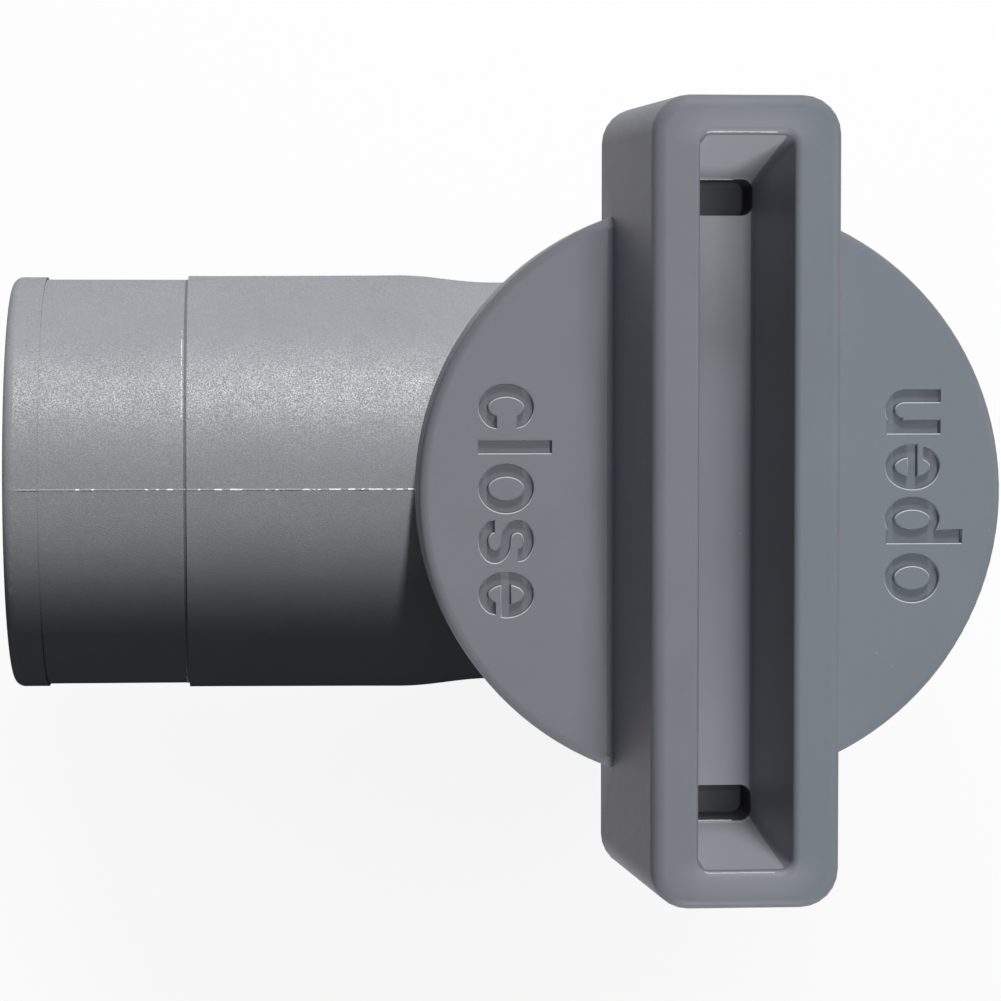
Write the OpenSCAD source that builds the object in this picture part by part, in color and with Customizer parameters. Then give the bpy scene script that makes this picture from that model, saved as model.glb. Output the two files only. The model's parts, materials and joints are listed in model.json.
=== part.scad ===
// Drain valve for a tank, with a half-turn knob.
// A hollow drum, open at the bottom, turns inside the housing. Its side window faces the outlet when
// the valve is open, and its plain wall covers the outlet when the valve is closed.
// The knob's axis is Z and the outlet points to -X. Z = 0 is the face that seals against the tank.

/* [Knob disc] */
// Radius of the round disc
disc_r = 26.7; // [26:0.1:27]
// Thickness of the disc
disc_t = 2.6; // [2.2:0.1:3.2]
// Depth of the skirt below the disc's top face
skirt_h = 7.1; // [6.2:0.1:7.6]
// Wall of the skirt
skirt_t = 1.9; // [1.5:0.1:2.1]
// Rounding of the disc's outer edge
disc_edge_r = 0.9; // [0.3:0.1:1.4]

/* [Knob handle] */
// Length of the handle at its top
handle_l = 69.1; // [66:0.5:76]
// Width of the handle at its top
handle_w = 16.1; // [14:0.1:18]
// Height of the handle above the disc
handle_h = 21.6; // [16:0.1:26]
// Draft of the long sides, in degrees
side_draft = 2.6; // [1:0.1:3]
// Draft of the two ends, in degrees
end_draft = 1.5; // [1:0.1:3]
// Radius of the handle's corners, seen from the front
handle_corner_r = 3.3; // [2:0.1:4.5]
// Rounding of the rim's outer edge
rim_outer_r = 1.2; // [0.4:0.1:1.6]
// Rounding of the rim's inner edge
rim_inner_r = 0.6; // [0.3:0.1:1.2]
// Width of the rim along the long sides
side_rim = 4; // [3:0.05:4.2]
// Width of the rim at the two ends
end_rim = 3.2; // [2.6:0.1:4]
// Draft of the recess along its long sides, in degrees
recess_side_draft = 1.1; // [0.5:0.1:2]
// Draft of the recess at its ends, in degrees
recess_end_draft = 5.6; // [3:0.1:7]
// Lean of the recess towards the handle's -Y end, in degrees
recess_lean = 2; // [0:0.1:3]
// Radius of the recess's corners
recess_corner_r = 1; // [0.8:0.1:2.4]
// Rounding between the recess's floor and its walls
recess_floor_r = 0.8; // [0.5:0.1:1.5]
// Length of the deep well at each end of the recess
well_l = 3.3; // [2:0.1:3.4]
// Radius of the wells' corners
well_corner_r = 1; // [0.4:0.1:1.2]
// Thickness of the floor that closes each well
well_floor_t = 1.2; // [0.8:0.1:2]
// Fillet where the handle meets the disc
foot_r = 0.8; // [0.3:0.1:1.2]
// Wall round the pockets under the handle's ends
pocket_wall = 1.7; // [1.6:0.1:2.4]
// Height of the pockets above the disc's top face
pocket_top = 5; // [0:0.5:8]
// Number of stiffening ribs under the disc
disc_ribs = 8; // [4:1:12]
// Height of those ribs
disc_rib_h = 1.6; // [1:0.1:2]
// Thickness of those ribs
disc_rib_t = 1.4; // [1:0.1:2]

/* [Knob drive] */
// Width of the square stub that drives the stem
stub_w = 9.2; // [8:0.1:9.6]
// Space between the stub's end and the bottom of its socket
stub_end_gap = 0.3; // [0.1:0.1:0.6]
// Clearance round the square stub, on each side
stub_gap = 0.1; // [0.05:0.05:0.2]

/* [Stops] */
// Turn of the knob from closed to open, in degrees
travel = 180; // [150:5:200]
// Angle that the stop lug under the knob takes up, in degrees
lug_angle = 24; // [16:1:40]
// Angle left between the lug and the rib at each stop, in degrees
stop_gap = 0.6; // [0.3:0.1:2]
// Space between the boss and the stop lug
lug_boss_gap = 0.5; // [0.3:0.1:1]
// Width of the stop rib and lug, from the inside out
stop_w = 2.8; // [2:0.1:4]
// Height of the stop rib
rib_h = 1.8; // [1.4:0.1:2]
// Height of the space under the stop lug
lug_gap = 0.5; // [0.3:0.1:0.8]

/* [Outlet] */
// Radius of the water's way through the outlet
port_r = 17.7; // [16.8:0.1:18]
// Distance of the outlet's end from the knob's axis
outlet_reach = 64.9; // [58:0.1:80]
// Radius of the outlet where a hose is pushed on
spigot_r = 19.92; // [19.7:0.01:20]
// Radius of the collar at the outlet's mouth
collar_r = 20.15; // [20.05:0.01:20.18]
// Length of that collar
collar_l = 3.3; // [2:0.1:5]
// Length of the part that a hose covers, from the mouth to the step
hose_l = 17.1; // [14:0.1:24]
// Radius just behind the step that stops the hose
step_r = 20.3; // [20.2:0.05:20.6]
// Largest radius of the outlet pipe
pipe_r = 20.4; // [20.3:0.05:20.9]
// Radius of the waist beside the housing
waist_r = 19.7; // [19.3:0.05:20]
// Distance of the waist from the knob's axis
waist_at = 18; // [17:0.1:20]
// Distance from the knob's axis to where the waist begins
swell_at = 27; // [25:0.1:32]
// Rounding of the mouth's outer edge
mouth_r = 1; // [0.4:0.1:1.4]

/* [Housing] */
// Radius of the turning drum
drum_r = 21; // [20.6:0.05:21.1]
// Space round the drum, and between its lower edge and the tail
drum_gap = 0.3; // [0.25:0.05:0.4]
// Wall of the housing
housing_t = 2.5; // [2.3:0.1:2.7]
// Thickness of the housing's top wall
roof_t = 2.8; // [2.4:0.1:3.4]
// Height of the boss on top of the housing
boss_h = 2.2; // [2:0.1:2.4]
// Wall of that boss round the stem
boss_t = 3; // [2:0.1:3.4]
// Rounding of the housing's top edge
housing_edge_r = 1; // [0.4:0.1:1.4]
// Space between the boss and the disc above it
disc_gap = 0.8; // [0.5:0.1:1]

/* [Drum] */
// Wall of the drum
drum_t = 2.4; // [2:0.1:2.8]
// Height of the ring under the drum's window
drum_foot = 3.4; // [2.4:0.1:5]
// Web between the window's upper edge and the drum's ceiling
drum_brow = 0.6; // [0.4:0.1:1.2]
// Thickness of the drum's ceiling
ceiling_t = 3.2; // [2.8:0.1:4]
// Fillet between the drum's ceiling and its wall
ceiling_fillet = 1.5; // [0.8:0.1:2.5]
// Radius of the stem
stem_r = 9.95; // [9.9:0.05:10.2]
// Running clearance of the stem in the boss, on the radius
stem_gap = 0.05; // [0.03:0.01:0.08]
// Thickness of the web that the screw clamps
clamp_web = 2; // [1.6:0.1:2.4]

/* [Seals] */
// Width of the port seal round the outlet
port_seal_w = 1.8; // [1.4:0.1:2]
// Thickness of the port seal
port_seal_t = 1.1; // [0.9:0.05:1.2]
// Section of the stem's seal ring
stem_ring_d = 1.9; // [1.6:0.1:2]
// Section of the tail's seal ring
tail_ring_d = 1.9; // [1.6:0.1:2]
// Extra width of the grooves that hold the seal rings
groove_play = 0.5; // [0.3:0.1:0.7]
// Clearance of a seal in its groove
seal_gap = 0.05; // [0.02:0.01:0.1]
// Thickness of the sliding washer over the drum
slide_t = 0.8; // [0.5:0.1:1]
// Outer radius of the sliding washer
slide_r = 15; // [13:0.1:18]
// Space over the sliding washer
slide_gap = 0.2; // [0.1:0.05:0.3]
// Space between the sliding washer and the stem
slide_bore_gap = 0.15; // [0.1:0.05:0.3]

/* [Tank side] */
// Radius of the thread's crests on the tail
thread_r = 20.95; // [20.9:0.05:21]
// Length of the thread below the sealing face
thread_l = 20; // [12:0.5:30]
// Radius of the neck between the thread and the flange
neck_r = 20.5; // [20.2:0.1:20.7]
// Radius of the water's way through the tail
inlet_r = 18.2; // [17:0.1:18.4]
// Radius of the flange
flange_r = 24; // [23.5:0.1:24.2]
// Thickness of the flange
flange_t = 4; // [3:0.1:4.4]
// Rounding of the flange's rim
flange_edge_r = 0.8; // [0.3:0.1:1.2]
// Height of the tail's collar inside the housing
tail_collar_h = 5.6; // [5:0.1:7]
// Clearance of that collar in the housing, on the radius
tail_gap = 0.05; // [0.02:0.01:0.1]
// Thickness of the flat gasket
gasket_t = 2; // [1.5:0.1:3]
// Clearance of the gasket round the thread, on the radius
gasket_gap = 0.2; // [0.1:0.05:0.3]
// Chamfer at the thread's end
thread_chamfer = 1; // [0.5:0.1:1.5]

/* [Screw] */
// Radius of the screw's thread
screw_r = 2; // [1.75:0.05:2.25]
// Length of the screw under its head
screw_l = 10; // [8:0.5:11]
// Radius of the screw's head
screw_head_r = 3.8; // [3.4:0.1:4.2]
// Height of the screw's head
screw_head_h = 2.4; // [2:0.1:2.8]
// Clearance round the screw's thread
screw_gap = 0.05; // [0.03:0.01:0.1]
// Depth of the head's cross recess
cross_depth = 1.4; // [1:0.1:1.6]
// Width of the cross recess's arms
cross_w = 0.9; // [0.6:0.1:1.1]
// Length of the cross recess, from tip to tip
cross_l = 4.2; // [3:0.1:5]
// Radius of the washer under the head
washer_r = 5.2; // [4.5:0.1:6]
// Thickness of that washer
washer_t = 0.8; // [0.5:0.1:1]

/* [Hidden] */
$fn = 96;
corner_steps = 6; // facets in a rounded corner of the handle
edge_steps = 5; // facets across a rounded edge of the handle
waist_steps = 8; // straight lines that follow the outlet's waist
past = 1; // how far a cut runs past the face that it leaves

housing_grey = "#74757c";
knob_grey = "#7b7c84";
rubber_black = "#1d1d1f";
slide_white = "#e4e2da";
steel = "#b9bcc0";

// Levels, from the tank's side up to the knob
flange_z = gasket_t + flange_t;
tail_top_z = flange_z + tail_collar_h;
drum_z = tail_top_z + drum_gap;
pipe_z = drum_z + drum_foot + port_r;
ceiling_z = pipe_z + port_r + drum_brow;
drum_top_z = ceiling_z + ceiling_t;
roof_z = drum_top_z + slide_t + slide_gap;
roof_top_z = roof_z + roof_t;
boss_top_z = roof_top_z + boss_h;
disc_under_z = boss_top_z + disc_gap;
disc_z = disc_under_z + disc_t;
knob_base_z = disc_z - skirt_h;
handle_top_z = disc_z + handle_h;
socket_z = ceiling_z + clamp_web;
washer_z = ceiling_z - washer_t;

// Radii that follow from the fits
chamber_r = drum_r + drum_gap;
housing_r = chamber_r + housing_t;
stem_bore_r = stem_r + stem_gap;
boss_r = stem_bore_r + boss_t;
lug_r = boss_r + lug_boss_gap;
tail_collar_r = chamber_r - tail_gap;
gasket_r = thread_r + gasket_gap;
socket_w = stub_w + 2 * stub_gap;
screw_hole_r = screw_r + screw_gap;

// Half sizes of the handle and its recess, at a height above the disc's top face
function handle_half_w(h) = handle_w / 2 + (handle_h - h) * tan(side_draft);
function handle_half_l(h) = handle_l / 2 + (handle_h - h) * tan(end_draft);
function recess_half_w(h) = handle_w / 2 - side_rim - (handle_h - h) * tan(recess_side_draft);
function recess_half_l(h) = handle_l / 2 - end_rim - (handle_h - h) * tan(recess_end_draft);
function recess_y(h) = -(handle_h - h) * tan(recess_lean);

// Outline of a rectangle with rounded corners, given by its half sizes
function rounded_outline(half_w, half_l, r) = [
    for (quarter = [0:3], step = [0:corner_steps])
        let (
            a = 90 * quarter + 90 * step / corner_steps,
            side_x = (quarter == 0 || quarter == 3) ? 1 : -1,
            side_y = quarter < 2 ? 1 : -1
        )
        [side_x * (half_w - r) + r * cos(a), side_y * (half_l - r) + r * sin(a)]
];

// Solid through a stack of rounded rectangles, each [half width, half length, corner radius, centre's y, height]
module rounded_loft(levels) {
    m = 4 * (corner_steps + 1);
    last = len(levels) - 1;
    points = [for (s = levels, p = rounded_outline(s[0], s[1], s[2])) [p[0], p[1] + s[3], s[4]]];
    walls = [
        for (k = [0:last - 1], i = [0:m - 1])
            let (a = k * m + i, b = k * m + (i + 1) % m)
            each [[a, a + m, b + m], [a, b + m, b]]
    ];
    floor_fan = [for (i = [1:m - 2]) [0, i, i + 1]];
    lid_fan = [for (i = [1:m - 2]) [last * m, last * m + i + 1, last * m + i]];
    polyhedron(points, concat(walls, floor_fan, lid_fan), convexity = 4);
}

// Part of a ring between two angles
module arc_block(inner_r, width, height, from, to) {
    rotate([0, 0, from])
        rotate_extrude(angle = to - from)
            translate([inner_r, 0])
                square([width, height]);
}

// Rubber ring with a round section
module seal_ring(inner_r, section_d, z) {
    translate([0, 0, z])
        rotate_extrude()
            translate([inner_r + section_d / 2, 0])
                circle(d = section_d, $fn = 32);
}

// Whatever is drawn along +Z points out through the outlet
module along_outlet() {
    translate([0, 0, pipe_z]) rotate([0, -90, 0]) children();
}

module outlet_outside() {
    step_at = outlet_reach - hose_l;
    along_outlet()
        rotate_extrude()
            difference() {
                polygon(concat(
                    [[0, 0], [waist_r, 0]],
                    [
                        for (step = [0:waist_steps])
                            let (part = step / waist_steps, ease = (1 - cos(180 * part)) / 2)
                            [waist_r + (pipe_r - waist_r) * ease, waist_at + (swell_at - waist_at) * part]
                    ],
                    [
                        [step_r, step_at],
                        [spigot_r, step_at],
                        [spigot_r, outlet_reach - collar_l],
                        [collar_r, outlet_reach - collar_l],
                        [collar_r, outlet_reach],
                        [0, outlet_reach]
                    ]
                ));
                translate([collar_r - mouth_r, outlet_reach - mouth_r])
                    difference() {
                        square(mouth_r + past);
                        circle(mouth_r, $fn = 48);
                    }
            }
}

module housing_outside() {
    rotate_extrude() {
        translate([0, flange_z]) square([housing_r, roof_top_z - housing_edge_r - flange_z]);
        translate([0, flange_z]) square([housing_r - housing_edge_r, roof_top_z - flange_z]);
        translate([housing_r - housing_edge_r, roof_top_z - housing_edge_r])
            circle(housing_edge_r, $fn = 48);
        translate([0, flange_z]) square([boss_r, boss_top_z - flange_z]);
    }
}

// Ring round the outlet's way, as thick as the space between two radii about the knob's axis
module port_ring(way_r, ring_r, inner_r, outer_r) {
    intersection() {
        along_outlet()
            difference() {
                cylinder(r = ring_r, h = outer_r + past);
                translate([0, 0, -past]) cylinder(r = way_r, h = outer_r + 3 * past);
            }
        translate([0, 0, pipe_z - ring_r - past])
            difference() {
                cylinder(r = outer_r, h = 2 * (ring_r + past));
                translate([0, 0, -past]) cylinder(r = inner_r, h = 2 * (ring_r + 2 * past));
            }
    }
}

module valve_body() {
    color(housing_grey) {
        difference() {
            union() {
                housing_outside();
                outlet_outside();
            }
            translate([0, 0, flange_z - past]) cylinder(r = chamber_r, h = roof_z - flange_z + past);
            translate([0, 0, roof_z - past]) cylinder(r = stem_bore_r, h = boss_top_z - roof_z + 2 * past);
            along_outlet() cylinder(r = port_r, h = outlet_reach + past);
            port_ring(
                port_r - past, port_r + port_seal_w + seal_gap,
                chamber_r - past, chamber_r + port_seal_t
            );
        }
        translate([0, 0, roof_top_z - past])
            arc_block(
                lug_r, stop_w, rib_h + past,
                travel + lug_angle / 2 + stop_gap, 360 - lug_angle / 2 - stop_gap
            );
    }
}

module inlet_tail() {
    groove_r = tail_collar_r - tail_ring_d + seal_gap;
    groove_w = tail_ring_d + groove_play;
    groove_z = flange_z + (tail_collar_h - groove_w) / 2;
    color(housing_grey)
        difference() {
            rotate_extrude()
                polygon([
                    [inlet_r, -thread_l],
                    [thread_r - thread_chamfer, -thread_l],
                    [thread_r, thread_chamfer - thread_l],
                    [thread_r, 0],
                    [neck_r, 0],
                    [neck_r, gasket_t],
                    [flange_r - flange_edge_r, gasket_t],
                    [flange_r, gasket_t + flange_edge_r],
                    [flange_r, flange_z - flange_edge_r],
                    [flange_r - flange_edge_r, flange_z],
                    [tail_collar_r, flange_z],
                    [tail_collar_r, tail_top_z],
                    [inlet_r, tail_top_z]
                ]);
            translate([0, 0, groove_z])
                rotate_extrude() translate([groove_r, 0]) square([tail_ring_d + past, groove_w]);
        }
}

module tail_seal_ring() {
    color(rubber_black)
        seal_ring(tail_collar_r - tail_ring_d + seal_gap, tail_ring_d - seal_gap, flange_z + tail_collar_h / 2);
}

module tank_gasket() {
    color(rubber_black)
        difference() {
            cylinder(r = flange_r, h = gasket_t);
            translate([0, 0, -past]) cylinder(r = gasket_r, h = gasket_t + 2 * past);
        }
}

module port_seal() {
    color(rubber_black)
        port_ring(port_r, port_r + port_seal_w, chamber_r, chamber_r + port_seal_t);
}

module rotor_drum() {
    groove_w = stem_ring_d + groove_play;
    groove_z = (roof_z + boss_top_z - groove_w) / 2;
    inner_r = drum_r - drum_t;
    color(slide_white)
        difference() {
            union() {
                translate([0, 0, drum_z]) cylinder(r = drum_r, h = drum_top_z - drum_z);
                translate([0, 0, drum_top_z - past]) cylinder(r = stem_r, h = disc_under_z - drum_top_z + past);
            }
            rotate_extrude()
                polygon([
                    [0, drum_z - past],
                    [inner_r, drum_z - past],
                    [inner_r, ceiling_z - ceiling_fillet],
                    [inner_r - ceiling_fillet, ceiling_z],
                    [0, ceiling_z]
                ]);
            translate([0, 0, pipe_z]) rotate([0, 90, 0]) cylinder(r = port_r, h = drum_r + past);
            translate([-socket_w / 2, -socket_w / 2, socket_z])
                cube([socket_w, socket_w, disc_under_z - socket_z + past]);
            translate([0, 0, ceiling_z - past]) cylinder(r = screw_hole_r, h = clamp_web + 2 * past);
            translate([0, 0, groove_z])
                rotate_extrude()
                    translate([stem_r - stem_ring_d + seal_gap, 0])
                        square([stem_ring_d + past, groove_w]);
        }
}

module stem_seal_ring() {
    color(rubber_black)
        seal_ring(stem_r - stem_ring_d + seal_gap, stem_ring_d - seal_gap, (roof_z + boss_top_z) / 2);
}

module slide_washer() {
    color(slide_white)
        translate([0, 0, drum_top_z])
            difference() {
                cylinder(r = slide_r, h = slide_t);
                translate([0, 0, -past]) cylinder(r = stem_r + slide_bore_gap, h = slide_t + 2 * past);
            }
}

module knob_disc() {
    rotate_extrude() {
        translate([0, knob_base_z]) square([disc_r, skirt_h - disc_edge_r]);
        translate([0, knob_base_z]) square([disc_r - disc_edge_r, skirt_h]);
        translate([disc_r - disc_edge_r, disc_z - disc_edge_r]) circle(disc_edge_r, $fn = 48);
    }
}

// The handle's outside, with its drafts and the rounded outer edge of its rim
module handle_outside() {
    rounded_loft(concat(
        [[handle_half_w(-skirt_h), handle_half_l(-skirt_h), handle_corner_r, 0, knob_base_z]],
        [
            for (step = [0:edge_steps])
                let (
                    a = 90 * step / edge_steps,
                    inset = rim_outer_r * (1 - cos(a)),
                    h = handle_h - rim_outer_r * (1 - sin(a))
                )
                [handle_half_w(h) - inset, handle_half_l(h) - inset, handle_corner_r - inset, 0, disc_z + h]
        ]
    ));
}

// The fillet between the handle and the disc
module handle_foot() {
    intersection() {
        rounded_loft([
            for (step = [0:edge_steps])
                let (
                    a = 90 * step / edge_steps,
                    spread = foot_r * (1 - sin(a)),
                    h = foot_r * (1 - cos(a)) - (step == 0 ? disc_t / 2 : 0)
                )
                [handle_half_w(h) + spread, handle_half_l(h) + spread, handle_corner_r + spread, 0, disc_z + h]
        ]);
        translate([0, 0, disc_under_z]) cylinder(r = disc_r - disc_edge_r, h = disc_t + foot_r + past);
    }
}

// The recess in the handle's front, with a rounded floor edge and a rounded lip
module handle_recess() {
    rounded_loft(concat(
        [
            for (step = [0:edge_steps])
                let (
                    a = 90 * step / edge_steps,
                    inset = recess_floor_r * (1 - sin(a)),
                    h = recess_floor_r * (1 - cos(a))
                )
                [
                    recess_half_w(h) - inset, recess_half_l(h) - inset, recess_corner_r - inset / 2,
                    recess_y(h), disc_z + h
                ]
        ],
        [
            for (step = [0:edge_steps])
                let (
                    a = 90 * step / edge_steps,
                    flare = rim_inner_r * (1 - cos(a)),
                    h = handle_h - rim_inner_r * (1 - sin(a))
                )
                [
                    recess_half_w(h) + flare, recess_half_l(h) + flare, recess_corner_r + flare,
                    recess_y(h), disc_z + h
                ]
        ],
        [[
            recess_half_w(handle_h) + rim_inner_r, recess_half_l(handle_h) + rim_inner_r,
            recess_corner_r + rim_inner_r, recess_y(handle_h), handle_top_z + past
        ]]
    ));
}

// The deep well at one end of the recess, closed by a thin floor at the knob's base
module recess_well() {
    half_w = recess_half_w(0) - well_corner_r;
    outer_y = recess_half_l(0);
    translate([0, 0, knob_base_z + well_floor_t])
        linear_extrude(skirt_h - well_floor_t + recess_floor_r)
            hull()
                for (x = [-half_w, half_w], y = [outer_y - well_l + well_corner_r, outer_y - well_corner_r])
                    translate([x, y]) circle(well_corner_r, $fn = 24);
}

// The pocket that hollows the thick end of the handle from below
module end_pocket() {
    inner_y = recess_half_l(pocket_top) - recess_y(pocket_top) + pocket_wall;
    outer_y = handle_half_l(pocket_top) - pocket_wall;
    half_w = handle_half_w(pocket_top) - pocket_wall;
    if (outer_y > inner_y)
        translate([-half_w, inner_y, knob_base_z - past])
            cube([2 * half_w, outer_y - inner_y, skirt_h + pocket_top + past]);
}

// The ribs that stiffen the disc between the stop lug and the skirt
module under_disc_ribs() {
    inner_r = lug_r + stop_w + disc_gap;
    for (i = [0:disc_ribs - 1])
        rotate([0, 0, 360 * (i + 0.5) / disc_ribs])
            translate([inner_r, -disc_rib_t / 2, disc_under_z - disc_rib_h])
                cube([disc_r - skirt_t / 2 - inner_r, disc_rib_t, disc_rib_h + disc_t / 2]);
}

module turn_knob() {
    color(knob_grey) {
        under_disc_ribs();
        difference() {
            union() {
                knob_disc();
                handle_outside();
                handle_foot();
            }
            translate([0, 0, knob_base_z - past]) cylinder(r = disc_r - skirt_t, h = skirt_h - disc_t + past);
            handle_recess();
            for (end = [0, 1]) {
                translate([0, recess_y(0), 0]) mirror([0, end, 0]) recess_well();
                mirror([0, end, 0]) end_pocket();
            }
        }
        difference() {
            translate([-stub_w / 2, -stub_w / 2, socket_z + stub_end_gap])
                cube([stub_w, stub_w, disc_under_z + disc_t / 2 - socket_z - stub_end_gap]);
            translate([0, 0, socket_z - past])
                cylinder(r = screw_hole_r, h = screw_l + washer_z - socket_z + past + stub_end_gap);
        }
        translate([0, 0, roof_top_z + lug_gap])
            arc_block(
                lug_r, stop_w, disc_under_z + disc_t / 2 - roof_top_z - lug_gap,
                -lug_angle / 2, lug_angle / 2
            );
    }
}

module knob_screw() {
    color(steel)
        difference() {
            union() {
                translate([0, 0, washer_z - screw_head_h])
                    rotate_extrude()
                        polygon([
                            [0, 0], [screw_head_r * 0.7, 0], [screw_head_r, screw_head_h / 2],
                            [screw_head_r, screw_head_h], [0, screw_head_h]
                        ]);
                translate([0, 0, washer_z - past]) cylinder(r = screw_r, h = screw_l + past);
            }
            for (turn = [0, 90])
                rotate([0, 0, turn])
                    translate([-cross_l / 2, -cross_w / 2, washer_z - screw_head_h - past])
                        cube([cross_l, cross_w, cross_depth + past]);
        }
}

module screw_washer() {
    color(steel)
        translate([0, 0, washer_z])
            difference() {
                cylinder(r = washer_r, h = washer_t);
                translate([0, 0, -past]) cylinder(r = screw_hole_r, h = washer_t + 2 * past);
            }
}

valve_body();
inlet_tail();
tail_seal_ring();
tank_gasket();
port_seal();
rotor_drum();
stem_seal_ring();
slide_washer();
turn_knob();
knob_screw();
screw_washer();
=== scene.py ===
# %% [markdown]
# A drain valve for a tank, in grey moulded plastic, seen from the side of its knob.
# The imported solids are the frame: they hold every size, and they move in the poses.
# This lesson adds what makes them look moulded: finishes, engraved words, a screw thread,
# and the thin lines that the halves of a mould leave. Lengths on the valve are in millimetres,
# and the helpers turn them into metres at the last moment. The floor and the lamps, which are
# far larger, are given in metres.

# %% Load the frame
import json
import math

import bmesh
import bpy
import numpy as np
from mathutils import Matrix, Vector
from mathutils.bvhtree import BVHTree


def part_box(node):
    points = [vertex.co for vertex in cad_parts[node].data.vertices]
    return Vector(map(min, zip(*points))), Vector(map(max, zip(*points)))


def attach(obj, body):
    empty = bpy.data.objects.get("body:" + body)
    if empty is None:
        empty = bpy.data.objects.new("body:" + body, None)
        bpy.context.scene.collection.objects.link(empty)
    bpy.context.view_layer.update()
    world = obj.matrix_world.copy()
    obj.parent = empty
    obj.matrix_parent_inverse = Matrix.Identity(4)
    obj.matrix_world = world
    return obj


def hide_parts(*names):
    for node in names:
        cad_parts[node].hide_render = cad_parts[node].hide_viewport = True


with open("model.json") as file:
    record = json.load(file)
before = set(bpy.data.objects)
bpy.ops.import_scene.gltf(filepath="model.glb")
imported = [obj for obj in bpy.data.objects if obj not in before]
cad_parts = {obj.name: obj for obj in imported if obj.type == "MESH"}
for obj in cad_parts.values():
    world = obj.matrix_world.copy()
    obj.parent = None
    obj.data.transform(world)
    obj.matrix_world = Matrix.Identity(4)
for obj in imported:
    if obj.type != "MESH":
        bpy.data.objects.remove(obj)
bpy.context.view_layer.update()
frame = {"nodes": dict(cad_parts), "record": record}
nodes = frame["nodes"]
print("CAD nodes:", ", ".join(sorted(nodes)))

# %% [markdown]
# The frame gives the places of the main faces, so that nothing here is typed in twice.
# The knob's handle stands a known height above the disc, which gives the disc's face.
# The outlet's centre is a mount of the record, and so is the thread.

# %% Read the main places from the frame
MM = 0.001
HANDLE_HEIGHT = 21.6
mounts = {mount["name"]: mount for mount in frame["record"]["mounts"]}
knob_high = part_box("turn_knob")[1] / MM
body_low, body_high = (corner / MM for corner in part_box("valve_body"))
tail_low, tail_high = (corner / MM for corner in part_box("inlet_tail"))
disc_face = knob_high.z - HANDLE_HEIGHT
outlet_axis = mounts["outlet_spigot"]["pos_m"][2] / MM
spigot_radius = mounts["outlet_spigot"]["dims"]["r_mm"]
thread_radius = mounts["inlet_thread"]["dims"]["r_mm"]
print(f"disc face at {disc_face:.1f} mm, outlet axis at {outlet_axis:.1f} mm")

# %% [markdown]
# The photograph was taken from almost straight in front of the knob, a little to the left.
# Its outlines fix where the camera stood and how strongly it magnified. The camera is placed
# from the centre of the disc's face and then turned by two small angles. It could also track a
# point, but the photograph wasn't aimed at any point of the valve.

# %% Camera
CAMERA_FROM_DISC = Vector((-42.57, 13.26, 302.95))
CAMERA_YAW = 0.0767
CAMERA_PITCH = 0.0456
LENS_MM = 120.76
SENSOR_MM = 36.0

camera = bpy.data.objects.new("camera", bpy.data.cameras.new("camera"))
camera.data.lens = LENS_MM
camera.data.sensor_width = SENSOR_MM
camera.data.clip_start = 0.01
camera.data.clip_end = 20.0
camera_place = (CAMERA_FROM_DISC + Vector((0, 0, disc_face))) * MM
camera_turn = Matrix.Rotation(-CAMERA_YAW, 4, "Y") @ Matrix.Rotation(-CAMERA_PITCH, 4, "X")
camera.matrix_world = Matrix.Translation(camera_place) @ camera_turn
bpy.context.scene.collection.objects.link(camera)
bpy.context.scene.camera = camera
print("camera at", [round(value, 4) for value in camera_place])

# %% [markdown]
# A finish is a small network of nodes. Drawn by hand, its sums fill a screen with Math nodes.
# Written as Python expressions they can be read, so one class wraps a socket, and each sign
# adds the node that does its sum. The reflected forms serve where a plain number comes first,
# as in 1 - mask.

# %% Sums of sockets
class Wire:
    """A socket of a network that takes part in sums."""

    def __init__(self, network, socket):
        self.network = network
        self.socket = socket

    def maths(self, operation, other, turned=False):
        inputs = {0: other, 1: self} if turned else {0: self, 1: other}
        return self.network.node("ShaderNodeMath", {"operation": operation}, inputs)

    def __add__(self, other):
        return self.maths("ADD", other)

    def __radd__(self, other):
        return self.maths("ADD", other, turned=True)

    def __sub__(self, other):
        return self.maths("SUBTRACT", other)

    def __rsub__(self, other):
        return self.maths("SUBTRACT", other, turned=True)

    def __mul__(self, other):
        return self.maths("MULTIPLY", other)

    def __rmul__(self, other):
        return self.maths("MULTIPLY", other, turned=True)

    def __gt__(self, other):
        return self.maths("GREATER_THAN", other)

    def __lt__(self, other):
        return self.maths("LESS_THAN", other)


print("a Math node for each sign: + - * > <")

# %% [markdown]
# Every other node comes from one method. It takes the kind of node, then its settings, then
# what its sockets get, which is a value or a wire. A material and a world both hold a network,
# so this class serves the finishes, the floor and the background. A Math node would turn a
# colour grey, so two colours meet in a Mix node.

# %% Networks of nodes
class Network:
    """A tree of shader nodes, built one node at a time."""

    def __init__(self, owner):
        """The owner is a material or a world."""
        owner.use_nodes = True
        self.tree = owner.node_tree

    def node(self, kind, settings=None, inputs=None, output=0):
        """Adds a node: first its settings, then the values or wires of its sockets."""
        made = self.tree.nodes.new(kind)
        for name, value in (settings or {}).items():
            setattr(made, name, value)
        for name, value in (inputs or {}).items():
            self.plug(made.inputs[name], value)
        return Wire(self, made.outputs[output]) if made.outputs else None

    def plug(self, socket, value):
        if isinstance(value, Wire):
            self.tree.links.new(value.socket, socket)
        else:
            socket.default_value = value

    def mix(self, amount, first, second):
        """A colour between two others. A Mix node keeps its colours in sockets 6, 7 and 2."""
        inputs = {0: amount, 6: first, 7: second}
        return self.node("ShaderNodeMix", {"data_type": "RGBA"}, inputs, output=2)


print("a node is made of its kind, its settings and its sockets")

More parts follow.
